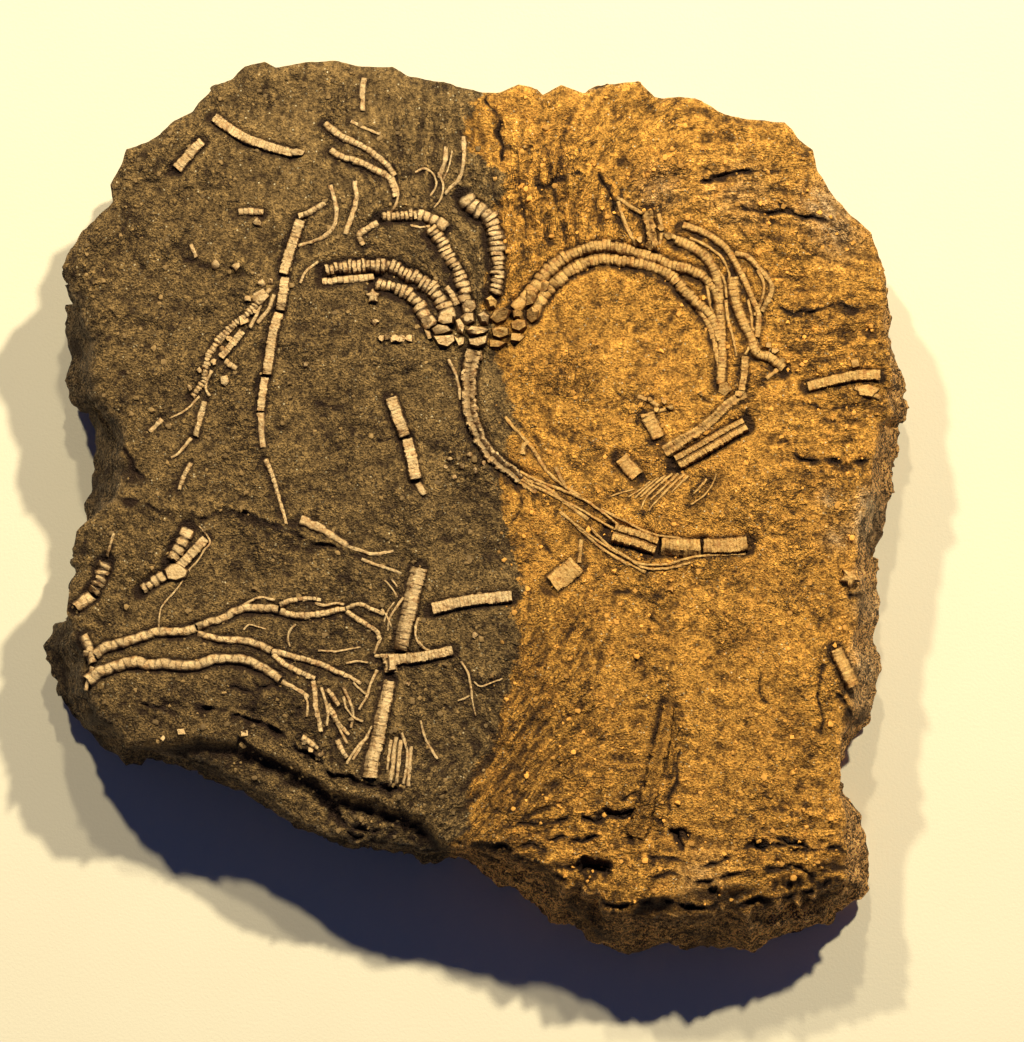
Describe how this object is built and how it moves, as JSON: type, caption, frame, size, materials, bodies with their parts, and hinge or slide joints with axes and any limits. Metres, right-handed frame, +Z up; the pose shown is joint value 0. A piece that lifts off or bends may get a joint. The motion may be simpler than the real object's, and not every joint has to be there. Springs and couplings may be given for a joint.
{
  "type": "crinoid fossil slab",
  "caption": "Rough block of siltstone, flat underneath, with the stems, arms and branches of star-stemmed sea lilies lying on its face.",
  "frame": {"origin": "centre of the slab's plan on the surface that it lies on", "axes": "+Z up out of the fossil face, +Y along the slab towards the edge that the large crinoid's arms point to, +X to the right of that"},
  "size_m": [0.2059, 0.2102, 0.0417],
  "materials": {
    "matrix": "rough, sandy siltstone, grey-brown at one side and ochre at the other",
    "tan_calcite": "matt tan fossil calcite with fine cross joints",
    "ochre_calcite": "matt, iron-stained ochre fossil calcite"
  },
  "bodies": {
    "root": {"arm_back": "tan_calcite", "arm_back_tip": "tan_calcite", "arm_centre": "tan_calcite", "arm_left_lower": "tan_calcite", "arm_left_upper": "tan_calcite", "arm_right_inner": "ochre_calcite", "arm_right_outer": "ochre_calcite", "branch_right_far": "ochre_calcite", "branch_right_middle": "ochre_calcite", "branch_right_near": "ochre_calcite", "calyx_left": "tan_calcite", "calyx_middle": "tan_calcite", "calyx_right": "tan_calcite", "centre_stub": "ochre_calcite", "cluster_arm": "tan_calcite", "cluster_bar": "tan_calcite", "cross_lower_column": "tan_calcite", "cross_right_bar": "tan_calcite", "cross_side_column": "tan_calcite", "cross_upper_column": "tan_calcite", "edge_piece": "tan_calcite", "grooved_column": "ochre_calcite", "left_column_end": "tan_calcite", "left_column_lower": "tan_calcite", "left_column_middle": "tan_calcite", "left_column_top": "tan_calcite", "left_column_upper": "tan_calcite", "low_column_behind": "ochre_calcite", "lower_right_column": "tan_calcite", "main_stem": "tan_calcite", "matrix_slab": "matrix", "middle_column_lower": "tan_calcite", "middle_column_upper": "tan_calcite", "right_column": "tan_calcite", "small_arm_lower": "tan_calcite", "small_arm_middle": "tan_calcite", "small_arm_upper": "tan_calcite", "small_arm_upper_branch": "tan_calcite", "small_base_plate": "tan_calcite", "small_branch_upper": "tan_calcite", "small_twig_low": "tan_calcite", "small_twig_lower": "tan_calcite", "small_twig_middle": "tan_calcite", "small_twig_top": "tan_calcite", "small_twig_upper": "tan_calcite", "star_columnal": "ochre_calcite", "stem_cirri": "ochre_calcite", "stem_joint_far": "ochre_calcite", "stem_joint_middle": "ochre_calcite", "stem_joint_near": "ochre_calcite", "top_strand_lower": "tan_calcite", "top_strand_upper": "tan_calcite", "twin_bar": "tan_calcite", "twin_column": "tan_calcite", "twin_foot": "tan_calcite", "upper_left_column": "tan_calcite", "upper_left_stub": "tan_calcite", "upper_right_column": "ochre_calcite"}
  },
  "joints": []
}
